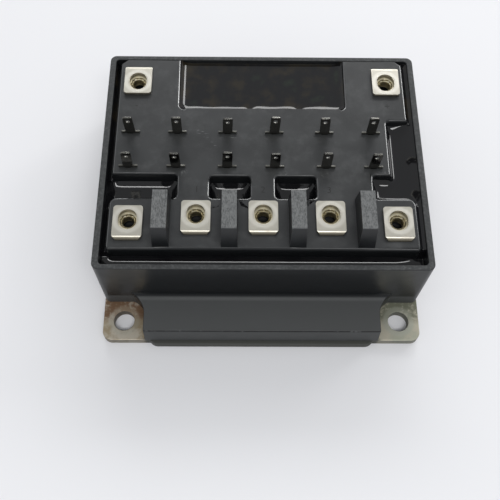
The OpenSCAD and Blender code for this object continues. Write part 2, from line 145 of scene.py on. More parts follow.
class Finish:
    """A procedural material. One method adds any node, the others name patterns."""

    def __init__(self, name):
        self.material = bpy.data.materials.new(name)
        self.material.use_nodes = True
        self.tree = self.material.node_tree
        self.tree.nodes.clear()
        self.shader = self.node("ShaderNodeBsdfPrincipled")
        self.node("ShaderNodeOutputMaterial", None, {"Surface": self.shader.outputs[0]})
        self.place = self.node("ShaderNodeTexCoord").outputs["Object"]
        axes = self.node("ShaderNodeSeparateXYZ", None, {0: self.place})
        self.x, self.y, self.z = [Value(self, socket) for socket in axes.outputs]
        facing = self.node("ShaderNodeSeparateXYZ", None,
                           {0: self.node("ShaderNodeNewGeometry").outputs["Normal"]})
        self.back, self.up = [Value(self, facing.outputs[axis]) for axis in (1, 2)]

    def node(self, kind, settings=None, inputs=None):
        """Adds a node, with its settings first and then its values or links."""
        made = self.tree.nodes.new(kind)
        for name, setting in (settings or {}).items():
            setattr(made, name, setting)
        for key, given in (inputs or {}).items():
            if isinstance(given, Value):
                given = given.socket
            if isinstance(given, bpy.types.NodeSocket):
                self.tree.links.new(given, made.inputs[key])
            else:
                made.inputs[key].default_value = given
        return made

    def value(self, kind, settings=None, inputs=None, output=0):
        """One output of a new node, ready for arithmetic."""
        return Value(self, self.node(kind, settings, inputs).outputs[output])

    def noise(self, size, detail=2.0, roughness=0.5, stretch=(1, 1, 1), shift=0.0):
        """Cloudy pattern whose lumps are about size metres across."""
        place = self.node("ShaderNodeMapping", None, {
            "Vector": self.place, "Location": (shift, shift, shift), "Scale": stretch})
        return self.value("ShaderNodeTexNoise", None, {
            "Vector": place.outputs[0], "Scale": 1 / size, "Detail": detail,
            "Roughness": roughness})

    def specks(self, spacing, radius, share=1.0, shift=0.0):
        """Round spots of a radius in metres, in a share of the cells of a given size."""
        place = self.node("ShaderNodeMapping", None, {
            "Vector": self.place, "Location": (shift, shift, shift)})
        cells = self.node("ShaderNodeTexVoronoi", None, {
            "Vector": place.outputs[0], "Scale": 1 / spacing, "Randomness": 1.0})
        spot = self.step(Value(self, cells.outputs["Distance"]),
                         radius / spacing, 0.6 * radius / spacing)
        pick = self.node("ShaderNodeSeparateColor", None, {0: cells.outputs["Color"]})
        return spot * self.step(Value(self, pick.outputs[0]), share, share - 0.01)

    def step(self, value, low, high, bottom=0.0, top=1.0):
        """Smooth change from bottom to top as value goes from low to high."""
        return self.value("ShaderNodeMapRange", {"interpolation_type": "SMOOTHSTEP"}, {
            "Value": value, "From Min": low, "From Max": high,
            "To Min": bottom, "To Max": top})

    def distance(self, point, flat=False):
        """Distance from a point, or with flat from the upright line through it."""
        scale = (1, 1, 0) if flat else (1, 1, 1)
        place = self.node("ShaderNodeMapping", None, {
            "Vector": self.place, "Scale": scale,
            "Location": [-c * s for c, s in zip(point, scale)]})
        return self.value("ShaderNodeVectorMath", {"operation": "LENGTH"},
                          {0: place.outputs[0]}, output=1)

    def spots(self, points, radius):
        """1 at each of the points, fading out by half as far again as radius."""
        near = None
        for point in points:
            gap = self.distance(point)
            near = gap if near is None else near.least(gap)
        return self.step(near, 1.5 * radius, 0.5 * radius)

    def mix(self, share, first, second):
        """Colour between first, where share is 0, and second, where it is 1."""
        mixed = self.node("ShaderNodeMix", {"data_type": "RGBA"}, {0: share})
        for index, given in ((6, first), (7, second)):
            if isinstance(given, tuple):
                mixed.inputs[index].default_value = (*given[:3], 1.0)
            else:
                self.tree.links.new(given, mixed.inputs[index])
        return mixed.outputs[2]

    def bump(self, height, depth):
        """Fine relief, depth metres deep where height goes from 0 to 1."""
        bumped = self.node("ShaderNodeBump", None, {
            "Strength": 1.0, "Distance": depth, "Height": height})
        self.tree.links.new(bumped.outputs[0], self.shader.inputs["Normal"])

    def set(self, **given):
        """Sets shader sockets: base_color=..., roughness=..., coat_weight=..."""
        for name, what in given.items():
            socket = self.shader.inputs[name.replace("_", " ").title()
                                        .replace("Ior", "IOR")]
            if isinstance(what, Value):
                what = what.socket
            if isinstance(what, bpy.types.NodeSocket):
                self.tree.links.new(what, socket)
            elif isinstance(what, tuple):
                socket.default_value = (*what[:3], 1.0)
            else:
                socket.default_value = what


# --- sizes and colours a user may change ---

def colour_property(name, description, default):
    return bpy.props.FloatVectorProperty(
        name=name, description=description, subtype="COLOR", size=3,
        min=0.0, max=1.0, default=default)


def length_property(name, description, default):
    return bpy.props.FloatProperty(
        name=name, description=description, subtype="DISTANCE", unit="LENGTH",
        min=0.0, precision=5, default=default)


class PlasticLooks(bpy.types.PropertyGroup):
    colour: colour_property("Plastic", "Colour of the moulded case and lid",
                            (0.0085, 0.0095, 0.0105))
    # this colour is also laid on as painted sheen on the lid's flat top and as painted
    # light on the ledge tops
    scuff_colour: colour_property("Scuffed", "Colour of scuffed and dusty plastic",
                                  (0.16, 0.165, 0.165))
    edge_radius: length_property("Edge radius", "Rounding of the moulded edges", 0.35 * MM)
    outline_radius: length_property("Outline radius", "Rounding of the lid's outline",
                                    0.8 * MM)


class ResinLooks(bpy.types.PropertyGroup):
    colour: colour_property("Resin", "Colour of the potting resin",
                            (0.006, 0.006, 0.007))
    creep_slope: bpy.props.FloatProperty(
        name="Creep slope", description="Steepness of the resin where it meets a wall",
        min=0.0, default=1.2)
    creep_reach: length_property("Creep reach", "How far from a wall the resin rises",
                                 2.4 * MM)
    side_rise: length_property("Side rise", "How much higher it stands beside the lid",
                               4.5 * MM)
    side_width: length_property("Side width", "How far from the sides the resin rises",
                                7.5 * MM)
    pocket_rise: length_property("Pocket rise", "How much higher the right pocket is",
                                 1.5 * MM)
    lip_slope: bpy.props.FloatProperty(
        name="Lip slope", description="Steepness at the front of the label recess",
        min=0.0, default=0.45)
    lip_reach: length_property("Lip reach", "Width of the rise in front of the recess",
                               2.2 * MM)
    mesh_size: length_property("Mesh size", "Spacing of the points of the surface",
                               0.25 * MM)


class MetalLooks(bpy.types.PropertyGroup):
    terminal_colour: colour_property("Terminals", "Plating of the screw terminals",
                                     (0.60, 0.575, 0.50))
    tab_colour: colour_property("Tabs", "Plating of the push-on tabs",
                                (0.19, 0.188, 0.172))
    nut_colour: colour_property("Nuts", "Yellow finish of the captive nuts",
                                (0.80, 0.74, 0.56))
    plate_colour: colour_property("Base plate", "Bare tint of the base plate",
                                  (0.50, 0.47, 0.38))
    rust_colour: colour_property("Rust", "Rust and tarnish on the base plate",
                                 (0.125, 0.064, 0.030))
    edge_radius: length_property("Edge radius", "Rounding of the metal's edges", 0.10 * MM)
    thread_pitch: length_property("Thread pitch", "Pitch of the nut's thread", 0.7 * MM)
    thread_depth: length_property("Thread depth", "Depth of the nut's thread", 0.38 * MM)


class StageLooks(bpy.types.PropertyGroup):
    floor_colour: colour_property("Floor", "Colour of the pale floor",
                                  (0.80, 0.80, 0.82))
    focal_length: bpy.props.FloatProperty(
        name="Focal length", description="Lens of the camera", subtype="DISTANCE_CAMERA",
        unit="CAMERA", default=53.1)


# --- shared steps ---

def deselect():
    if bpy.context.object and bpy.context.object.mode != "OBJECT":
        bpy.ops.object.mode_set(mode="OBJECT")
    bpy.ops.object.select_all(action="DESELECT")


def make_active(piece):
    deselect()
    piece.select_set(True)
    bpy.context.view_layer.objects.active = piece


def apply_modifier(piece, kind, **settings):
    make_active(piece)
    modifier = piece.modifiers.new(kind.title(), kind)
    for name, setting in settings.items():
        setattr(modifier, name, setting)
    bpy.ops.object.modifier_apply(modifier=modifier.name)


def copy_node(node, name):
    """A merged copy of a CAD node's mesh, ready to be shaped further."""
    piece = NODES[node].copy()
    piece.data = NODES[node].data.copy()
    for key in list(piece.keys()):
        del piece[key]
    piece.parent = None
    piece.name = name
    piece.data.name = name
    bpy.context.collection.objects.link(piece)
    make_active(piece)
    bpy.ops.object.mode_set(mode="EDIT")
    bpy.ops.mesh.select_all(action="SELECT")
    bpy.ops.mesh.remove_doubles(threshold=0.002 * MM)
    bpy.ops.mesh.dissolve_limited(angle_limit=math.radians(0.5))
    bpy.ops.mesh.select_all(action="DESELECT")
    bpy.ops.object.mode_set(mode="OBJECT")
    return piece


def round_edges(piece, radius, segments=2, angle=35):
    apply_modifier(piece, "BEVEL", width=radius, segments=segments, limit_method="ANGLE",
                   angle_limit=math.radians(angle), harden_normals=False,
                   use_clamp_overlap=True)


def smooth(piece, angle=35):
    """Smooth shading that leaves the large faces flat."""
    make_active(piece)
    bpy.ops.object.shade_smooth_by_angle(angle=math.radians(angle))
    apply_modifier(piece, "WEIGHTED_NORMAL", keep_sharp=True)


def select_faces(piece, chosen):
    """Enters edit mode with the faces selected for which chosen is true."""
    make_active(piece)
    bpy.ops.object.mode_set(mode="EDIT")
    bpy.ops.mesh.select_mode(type="FACE")
    bpy.ops.mesh.select_all(action="DESELECT")
    bpy.ops.object.mode_set(mode="OBJECT")
    for face in piece.data.polygons:
        face.select = chosen(face)
    bpy.ops.object.mode_set(mode="EDIT")


def select_vertices(piece, chosen):
    """Enters edit mode with the vertices selected for which chosen is true."""
    make_active(piece)
    bpy.ops.object.mode_set(mode="EDIT")
    bpy.ops.mesh.select_mode(type="VERT")
    bpy.ops.mesh.select_all(action="DESELECT")
    bpy.ops.object.mode_set(mode="OBJECT")
    for vertex in piece.data.vertices:
        vertex.select = chosen(vertex.co)
    bpy.ops.object.mode_set(mode="EDIT")


def rise(height, widening):
    """Extrudes what is selected upwards and widens it."""
    bpy.ops.mesh.extrude_region_move(TRANSFORM_OT_translate={"value": (0, 0, height)})
    bpy.ops.transform.resize(value=(widening, widening, 1))


def screw_places():
    """Screw axes, read from the record: front row first, then the rear pair."""
    return [tuple(mount["pos_m"][:2]) for mount in frame["record"]["mounts"]
            if mount["kind"] == "threaded_hole"]


def base_holes():
    """Distance of the base plate's holes from the middle, across and along"""
    dims = next(mount["dims"] for mount in frame["record"]["mounts"]
                if mount["kind"] == "bolt_pattern")
    return dims["spacing_x_mm"] / 2 * MM, dims["spacing_y_mm"] / 2 * MM


def dress(piece, finish):
    piece.data.materials.clear()
    piece.data.materials.append(finish)


def stand_for(piece, node, finish):
    """The piece takes a CAD node's place, with a finish and a material slot."""
    dress(piece, finish)
    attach(piece, "root")
    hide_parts(node)


def dress_node(node, finish):
    holder = NODES[node].material_slots[0]
    holder.link = "OBJECT"
    holder.material = finish


# --- finishes ---

def plastic_finish(name, colour, scuff_colour, wear_and_light, dark_line=None, filmed=0.0):
    """Black glass-filled plastic. The third argument gives where it is worn or dusty and
    where light or sheen is painted paler, the fourth where a dark line darkens it, and
    filmed is how much resin wets its edges."""
    made = Finish(name)
    cloud = made.noise(9 * MM, 4, 0.6)
    grain = made.noise(0.35 * MM, 2, 0.5)
    fine = made.noise(0.12 * MM, 1, 0.5)
    dust = made.specks(2.4 * MM, 0.09 * MM, 0.16) * made.step(made.up, 0.6, 0.9)
    wear_dust_and_light = wear_and_light(made).greatest(dust * 0.9)
    film = (made.step(made.up, 0.985, 0.93)
            * made.step(made.z, RIM_Z + 0.4 * MM, RIM_Z + 0.1 * MM))
    wet = film * made.step(made.back, -0.25, -0.05) * filmed
    base = made.mix(made.step(cloud, 0.35, 0.7) * 0.6 * (1 - film), tuple(colour),
                    tuple(1.7 * c for c in colour))
    if dark_line:
        base = made.mix(dark_line(made), base, (0.001, 0.001, 0.001))
    # the pale colour goes on worn and dusty places, and as painted light and sheen on the
    # ledge and lid tops
    made.set(base_color=made.mix(wear_dust_and_light, base, tuple(scuff_colour)),
             roughness=made.step(cloud, 0.3, 0.75, 0.30, 0.40) * (1 - 0.45 * wet)
             + wear_dust_and_light * 0.6, ior=1.5 if filmed else 1.33,
             coat_weight=wet, coat_roughness=0.12, coat_ior=2.1)
    made.bump(grain + fine * 0.4, 0.012 * MM)
    return made.material


def lid_scuff(made):
    """Rib tops are rubbed pale, most along their edges; the flat is paler all over, partly
    dust and partly painted sheen, with a few scratches and smudges by the tabs."""
    streaks = made.noise(0.35 * MM, 3, 0.6, stretch=(1.6, 0.5, 1))
    blotch = made.noise(1.6 * MM, 3, 0.6)
    top = made.step(made.z, RIB_TOP_Z - 0.6 * MM, RIB_TOP_Z - 0.1 * MM)
    worn_rim = made.step(made.up, 0.995, 0.9)
    rubbed = top * (made.step(streaks + blotch * 0.4, 0.50, 0.85, 0.25, 1.0)
                    + worn_rim * made.step(streaks, 0.35, 0.6, 0.2, 0.9))
    flat = made.step(made.up, 0.7, 0.95)
    # painted sheen: the flat top is lifted towards the pale colour, evenly and in patches,
    # partly as dust
    dust_and_painted_sheen = flat * (made.step(made.noise(5 * MM, 5, 0.65), 0.45, 0.8) * 0.14 + 0.075)
    ragged = made.noise(0.45 * MM, 4, 0.7, shift=0.1)
    smudges = made.spots(SMUDGES, 1.1 * MM) * made.step(ragged, 0.5, 0.62) * 0.55
    dashes = made.spots(SCRATCHES, 1.0 * MM) * made.step(
        made.noise(0.5 * MM, 2, 0.5, stretch=(0.25, 1.6, 1), shift=0.7), 0.58, 0.66) * 0.8
    return rubbed.greatest(dust_and_painted_sheen).greatest((smudges + dashes) * flat)


def case_scuff(made):
    """The rim is rubbed and the ledge tops are paler, partly dust and partly painted light
    that stands in for what the case's shadow takes; the walls keep their black.
    """
    ragged = made.noise(0.7 * MM, 5, 0.7)
    rim = made.step(made.z, RIM_Z - 0.25 * MM, RIM_Z - 0.05 * MM)
    low = made.step(made.z, RIM_Z / 2, RIM_Z / 2 - 1 * MM)
    # painted light: the ledge tops are lifted paler, partly as dust, against the case's
    # shadow
    ledge_dust_and_light = low * made.step(made.up, 0.6, 0.97)
    # a broken pale line runs along the top of each ledge's outer edge
    line = made.step(abs(abs(made.y) - LEDGE_EDGE), 0.34 * MM, 0.2 * MM) * low
    pale_line = line * made.step(made.noise(1.4 * MM, 3, 0.6, shift=0.3), 0.56, 0.66)
    front = (made.step(made.z, LEDGE_FACE_TOP, LEDGE_FACE_TOP - 0.6 * MM)
             * made.step(abs(made.back), 0.7, 0.95) * made.step(made.up, -0.3, -0.1))
    return ((rim * made.step(ragged, 0.42, 0.75, 0.2, 0.55)).greatest(ledge_dust_and_light * 0.44)
            .greatest(front * 0.3).greatest(pale_line * 0.5))


def case_seam(made):
    """Dark stretches of a line along each ledge's outer edge."""
    line = made.step(abs(abs(made.y) - LEDGE_EDGE + 0.1 * MM), 0.38 * MM, 0.22 * MM)
    return (line * made.step(made.z, RIM_Z / 2, RIM_Z / 2 - 1 * MM)
            * made.step(made.noise(4 * MM, 3, 0.6, shift=0.8), 0.38, 0.5))


def resin_finish(looks):
    """Glossy black resin with specks of dust, and in the label recess warm brown patches of
    painted reflection and greenish patches.
    """
    made = Finish("potting_resin_gloss")
    wave = made.noise(6 * MM, 2, 0.5)
    dust = made.specks(1.9 * MM, 0.07 * MM, 0.14, shift=0.2)
    haze = made.step(made.noise(8 * MM, 4, 0.6), 0.55, 0.8)
    stain = made.noise(7 * MM, 3, 0.6, shift=0.5)
    label = made.step(made.y, RECESS_Y - 1 * MM, RECESS_Y)
    # painted reflection: warm brown patches in the label recess; the line after lays
    # greenish patches there
    tint = made.mix(made.step(stain, 0.45, 0.7) * label, tuple(looks.colour),
                    (0.020, 0.016, 0.010))
    tint = made.mix(made.step(stain, 0.42, 0.25) * label, tint, (0.012, 0.017, 0.012))
    made.set(base_color=made.mix(dust * 0.8, tint, (0.35, 0.35, 0.33)),
             roughness=0.07 + haze * 0.06 + dust * 0.5)
    made.bump(wave, 0.03 * MM)
    return made.material


def terminal_finish(looks, screws):
    """Nickel plate with a rubbed ring round each screw hole, dull patches, and painted
    shade on the faces that look to the front.
    """
    made = Finish("terminal_nickel")
    scratch = made.noise(0.25 * MM, 3, 0.6, stretch=(1, 0.12, 1))
    cross = made.noise(0.3 * MM, 3, 0.6, stretch=(0.15, 1, 1), shift=0.3)
    patch = made.noise(2.2 * MM, 4, 0.6)
    ring = None
    for point in screws:
        away = abs(made.distance(point, flat=True) - 3.6 * MM)
        ring = away if ring is None else ring.least(away)
    ring = made.step(ring, 0.9 * MM, 0.2 * MM)
    dirt = made.step(patch, 0.58, 0.72) * 0.35
    tint = made.mix(dirt, tuple(looks.terminal_colour), (0.45, 0.40, 0.30))
    # painted shade: faces that look to the front are darker, and rougher too
    painted_front_shade = made.step(made.back, -0.35, -0.75)
    tint = made.mix(painted_front_shade * 0.9, tint, (0.27, 0.245, 0.19))
    made.set(base_color=made.mix(ring * 0.2, tint, (0.9, 0.89, 0.85)), metallic=1.0,
             roughness=0.26 + patch * 0.18 + ring * 0.08 + painted_front_shade * 0.3)
    made.bump(scratch + cross * 0.8, 0.006 * MM)
    return made.material


def tab_finish(looks):
    """Tarnished tin, with painted shade on the flat faces and at the foot."""
    made = Finish("tab_tin")
    patch = made.noise(0.9 * MM, 3, 0.6)
    scratch = made.noise(0.2 * MM, 2, 0.5, stretch=(1, 1, 0.15))
    tint = made.mix(made.step(patch, 0.45, 0.75) * 0.5, tuple(looks.tab_colour),
                    (0.16, 0.15, 0.125))
    # painted shade: darker near the foot, where the tab meets the lid, and on the flat
    # faces
    foot = made.step(made.z, RIM_Z + 1.6 * MM, RIM_Z + 1.0 * MM)
    face = made.step(abs(made.back), 0.6, 0.85)
    dark = (foot * 0.3).greatest(face * 0.75)
    made.set(base_color=made.mix(dark, tint, (0.05, 0.05, 0.045)), metallic=1.0,
             roughness=0.14 + patch * 0.12 + foot * 0.2)
    made.bump(scratch, 0.006 * MM)
    return made.material


def nut_finish(looks):
    """Yellow passivated zinc in faint patches."""
    made = Finish("nut_yellow_zinc")
    patch = made.noise(1.2 * MM, 3, 0.6)
    made.set(base_color=made.mix(made.step(patch, 0.4, 0.7) * 0.6,
                                 tuple(looks.nut_colour), (0.72, 0.66, 0.5)),
             metallic=1.0, roughness=0.24 + patch * 0.2)
    made.bump(made.noise(0.15 * MM, 2), 0.006 * MM)
    return made.material


def plate_finish(looks):
    """Dull plated metal: tan on the left ears, olive on the right, stained between the
    holes and the case, and dark along the middle of its edges."""
    made = Finish("base_plate_tarnish")
    cloud = made.noise(5 * MM, 5, 0.65)
    fine = made.noise(1.0 * MM, 4, 0.65, shift=0.4)
    left = made.step(made.x, 5 * MM, -30 * MM)
    olive = made.mix(made.step(cloud, 0.4, 0.65), tuple(looks.plate_colour),
                     (0.40, 0.41, 0.33))
    tan = made.mix(made.step(cloud, 0.4, 0.6), (0.56, 0.51, 0.42), (0.38, 0.31, 0.21))
    inner = abs(made.y) + fine * 2.4 * MM + cloud * 3 * MM
    stain = (made.step(inner, PLATE_HIGH.y - 2.8 * MM, PLATE_HIGH.y - 5.8 * MM)
             * made.step(fine + cloud, 0.75, 1.05, 0.35, 1.0))
    hole_x, hole_y = base_holes()
    ring = made.value("ShaderNodeVectorMath", {"operation": "LENGTH"}, {
        0: made.node("ShaderNodeCombineXYZ", None, {
            0: abs(made.x) - hole_x, 1: abs(made.y) - hole_y}).outputs[0]}, output=1)
    washed = made.step(ring + fine * 0.8 * MM, 5.4 * MM, 4.4 * MM)
    tint = made.mix(washed * (0.6 - left * 0.35), made.mix(left, olive, tan),
                    (0.42, 0.43, 0.37))
    tarnish = made.mix(left, (0.12, 0.125, 0.085), tuple(looks.rust_colour))
    tint = made.mix(stain * (0.95 - washed * 0.3), tint, tarnish)
    edge = (made.step(abs(made.x), hole_x - 4.5 * MM, hole_x - 7 * MM)
            * made.step(abs(made.y), CASE_HIGH.y - 1.2 * MM, CASE_HIGH.y - 0.2 * MM))
    side = made.step(made.up, 0.7, 0.3) * 0.6
    dark = edge.greatest(side)
    tint = made.mix(dark, tint, (0.05, 0.052, 0.045))
    dull = stain.greatest(dark)
    made.set(base_color=tint, metallic=0.9 - dull * 0.75,
             roughness=0.36 + fine * 0.2 + dull * 0.25)
    made.bump(made.noise(0.3 * MM, 3, 0.6) + stain * 0.5, 0.012 * MM)
    return made.material


def plain_finish(name, first, second, size, metallic, roughness, alpha=1.0):
    """Even material with faint mottling, for the pieces sealed inside."""
    made = Finish(name)
    cloud = made.noise(size, 4, 0.6)
    made.set(base_color=made.mix(made.step(cloud, 0.35, 0.65), first, second),
             metallic=metallic, roughness=roughness + cloud * 0.15, alpha=alpha)
    made.bump(made.noise(size / 8, 2), 0.004 * MM)
    return made.material


# --- operators ---

class MODULE_OT_case(bpy.types.Operator):
    """Round the moulded edges of the case frame and give it worn black plastic"""
    bl_idname = "module.case"
    bl_label = "Case"

    def execute(self, context):
        looks = context.scene.module_plastic
        piece = copy_node("case_frame", "case_moulding")
        round_edges(piece, looks.edge_radius, 3)
        smooth(piece)
        stand_for(piece, "case_frame",
                  plastic_finish("case_plastic_worn", looks.colour, looks.scuff_colour,
                                 case_scuff, case_seam))
        return {"FINISHED"}


class MODULE_OT_lid(bpy.types.Operator):
    """Round the lid's edges and scuff the tops of its barrier ribs"""
    bl_idname = "module.lid"
    bl_label = "Lid"

    def execute(self, context):
        looks = context.scene.module_plastic
        piece = copy_node("terminal_lid", "lid_moulding")
        self.round_outline(piece, looks.outline_radius)
        round_edges(piece, looks.edge_radius, 3)
        smooth(piece)
        stand_for(piece, "terminal_lid",
                  plastic_finish("lid_plastic_worn", looks.colour, looks.scuff_colour,
                                 lid_scuff, filmed=1.0))
        return {"FINISHED"}

    def round_outline(self, piece, radius):
        """A wider round along the outline and the pockets of the top"""
        walls = {edge for face in piece.data.polygons
                 if abs(face.normal.z) < 0.1 and face.center.z < RIM_Z - 0.3 * MM
                 for edge in face.edge_keys}
        clear = Vector((TAB_CLEARANCE, TAB_CLEARANCE, 0))
        metal = [(low - clear, high + clear)
                 for low, high in map(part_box, TABS + TERMINALS)]
        points = piece.data.vertices
        select_vertices(piece, lambda place: False)
        bpy.ops.mesh.select_mode(type="EDGE")
        bpy.ops.object.mode_set(mode="OBJECT")
        for edge in piece.data.edges:
            ends = [points[index].co for index in edge.vertices]
            middle = (ends[0] + ends[1]) / 2
            edge.select = (edge.key in walls
                           and all(abs(end.z - RIM_Z) < 0.01 * MM for end in ends)
                           and not (middle.y > RECESS_Y and abs(middle.x) < LID_HIGH.x / 2)
                           and not any(low.x < middle.x < high.x
                                       and low.y < middle.y < high.y
                                       for low, high in metal))
        bpy.ops.object.mode_set(mode="EDIT")
        bpy.ops.mesh.bevel(offset=radius, segments=5, clamp_overlap=False)
        bpy.ops.object.mode_set(mode="OBJECT")


class MODULE_OT_resin(bpy.types.Operator):
    """Pour the resin's surface, which climbs where it meets the plastic"""
    bl_idname = "module.resin"
    bl_label = "Resin"

    def execute(self, context):
        looks = context.scene.module_resin
        skin = self.pour(looks)
        block = copy_node("potting_resin", "resin_fill")
        select_vertices(block, lambda place: place.z > POUR_Z)
        bpy.ops.transform.translate(value=(0, 0, -SKIN_LAP))
        bpy.ops.object.mode_set(mode="OBJECT")
        make_active(block)
        skin.select_set(True)
        bpy.ops.object.join()
        make_active(block)
        bpy.ops.object.shade_smooth_by_angle(angle=math.radians(60))
        stand_for(block, "potting_resin", resin_finish(looks))
        return {"FINISHED"}

    def pour(self, looks):
        """A closed skin over the resin in sight, one point wider than it all round"""
        step = looks.mesh_size
        corner = RESIN_LOW - Vector((step, step, 0))
        columns = int((RESIN_HIGH.x - corner.x) / step) + 2
        rows = int((RESIN_HIGH.y - corner.y) / step) + 2
        levels = self.levels(corner, step, columns, rows)
        heights = self.creep(levels, corner, looks)
        deselect()
        bpy.ops.mesh.primitive_grid_add(x_subdivisions=columns - 1,
                                        y_subdivisions=rows - 1, size=step)
        skin = bpy.context.object
        bpy.ops.transform.resize(value=(columns - 1, rows - 1, 1))
        bpy.ops.object.transform_apply(scale=True)
        bpy.ops.transform.translate(value=(corner.x + (columns - 1) * step / 2,
                                           corner.y + (rows - 1) * step / 2, 0))
        bpy.ops.object.transform_apply(location=True)
        for vertex in skin.data.vertices:
            column = round((vertex.co.x - corner.x) / step)
            row = round((vertex.co.y - corner.y) / step)
            vertex.co.z = heights[row, column]
        select_vertices(skin, lambda place: place.z == 0)
        bpy.ops.mesh.delete(type="VERT")
        bpy.ops.mesh.select_all(action="SELECT")
        bpy.ops.mesh.extrude_region_move(TRANSFORM_OT_translate={"value": (0, 0, -1 * MM)})
        bpy.ops.mesh.select_all(action="SELECT")
        bpy.ops.mesh.normals_make_consistent(inside=False)
        bpy.ops.object.mode_set(mode="OBJECT")
        return skin

    def levels(self, corner, step, columns, rows):
        """Level of the resin at each point, or 0 where the plastic hides it"""
        down = Vector((0, 0, -1))
        mesh = NODES["potting_resin"].data
        tree = bvhtree.BVHTree.FromPolygons([vertex.co for vertex in mesh.vertices],
                                            [face.vertices for face in mesh.polygons])
        levels = np.zeros((rows, columns))
        for row in range(rows):
            for column in range(columns):
                sky = Vector((corner.x + column * step, corner.y + row * step, 2 * RIM_Z))
                hit = tree.ray_cast(sky, down)[0]
                if hit and hit.z > POUR_Z:
                    levels[row, column] = hit.z
        return levels

    def creep(self, levels, corner, looks):
        """Heights of the skin, which rises in a curve towards every wall"""
        step = looks.mesh_size
        rows, columns = np.indices(levels.shape)
        x, y = corner.x + columns * step, corner.y + rows * step
        ripple = np.array([[noise.noise(Vector((column, row, 0)) * step / RIPPLE_SIZE)
                            for column in range(levels.shape[1])]
                           for row in range(levels.shape[0])])
        wet = levels > 0
        shallow = levels > RIM_Z - RECESS_DEPTH_MOST
        far = self.reach(wet, step)
        climb = np.where(shallow, self.recess_climb(x, y, shallow, ripple, looks),
                         self.pocket_climb(x, y, wet, far, ripple, looks))
        heights = np.minimum(levels + climb, RIM_Z - BRIM_GAP) * wet
        for turn in range(2):
            near, count = self.around(heights, wet)
            heights = np.where(wet & (far > 2 * step), (heights + near) / (1 + count),
                               heights)
        # one more ring of points, which end inside the plastic
        near, count = self.around(heights, wet)
        edge = ~wet & (count > 0)
        return np.where(edge, near / np.maximum(count, 1) + 0.22 * MM, heights)

    def pocket_climb(self, x, y, wet, far, ripple, looks):
        """The pockets fill in a curve at every wall and stand high beside the lid"""
        span = int(GAP_SPAN / looks.mesh_size)
        open_share = sum(np.roll(wet, k, 1) for k in range(-span, span + 1))
        narrow = self.ease((0.5 - open_share / (2 * span + 1)) / 0.1)
        right = self.ease((x - RIGHT_POCKET) / MM)
        behind = self.ease((y - LID_LOW.y) / MM)
        width = looks.side_width * (0.3 + 0.7 * right)
        inward = np.clip(1 - (RESIN_HIGH.x - abs(x)) / width, 0, 1)
        slope = looks.creep_slope - (looks.creep_slope - GAP_SLOPE) * narrow
        slope *= 1 - 0.8 * inward * right * (1 - narrow)
        reach = looks.creep_reach * (1 - 0.5 * narrow)
        climb = slope * np.maximum(reach - far, 0) ** 2 / (2 * reach)
        in_gaps = looks.side_rise + 0.25 * MM * ripple
        in_pockets = behind * (right * looks.pocket_rise
                               + inward ** 2 * (looks.side_rise - looks.pocket_rise))
        return climb + narrow * in_gaps + (1 - narrow) * in_pockets

    def recess_climb(self, x, y, shallow, ripple, looks):
        """The recess fills steeply at its ends and gently, with two sags, in front"""
        across = abs(x)[shallow].max() - abs(x)
        along = y - y[shallow].min()
        sags = sum(np.exp(-((x - sag) / (1.1 * MM)) ** 2) for sag in RECESS_SAGS)
        lip = looks.lip_reach * (1 + 0.3 * ripple - 0.75 * sags)
        return (1.2 * MM * np.maximum(1 - across / (3.2 * MM), 0) ** 3
                + looks.lip_slope * np.maximum(lip - along, 0) ** 2 / (2 * lip))

    def ease(self, share):
        share = np.clip(share, 0, 1)
        return share ** 2 * (3 - 2 * share)

    def around(self, heights, wet):
        """Sum and number of the wet points among the eight next to each point"""
        ring = [(dx, dy) for dx in (-1, 0, 1) for dy in (-1, 0, 1) if dx or dy]
        near = sum(np.roll(heights * wet, each, (0, 1)) for each in ring)
        return near, sum(np.roll(wet, each, (0, 1)).astype(int) for each in ring)

    def reach(self, wet, step):
        """Distance from the walls, less than 0 inside them, with its corners rounded"""
        far = np.where(wet, self.reach_from(~wet, step), -self.reach_from(wet, step))
        for axis in (0, 1, 0, 1):
            far = (sum(np.roll(far, k, axis) for k in range(-SOFTENING, SOFTENING + 1))
                   / (2 * SOFTENING + 1))
        return far

    def reach_from(self, chosen, step):
        """Distance of each point from the edge of the nearest chosen one"""
        far = np.where(chosen, -0.5 * step, 1.0)
        sides = [(1, 0), (-1, 0), (0, 1), (0, -1), (1, 1), (1, -1), (-1, 1), (-1, -1)]
        for turn in range(SEARCH):
            for side in sides:
                far = np.minimum(far, np.roll(far, side, (0, 1)) + step * math.hypot(*side))
        return far


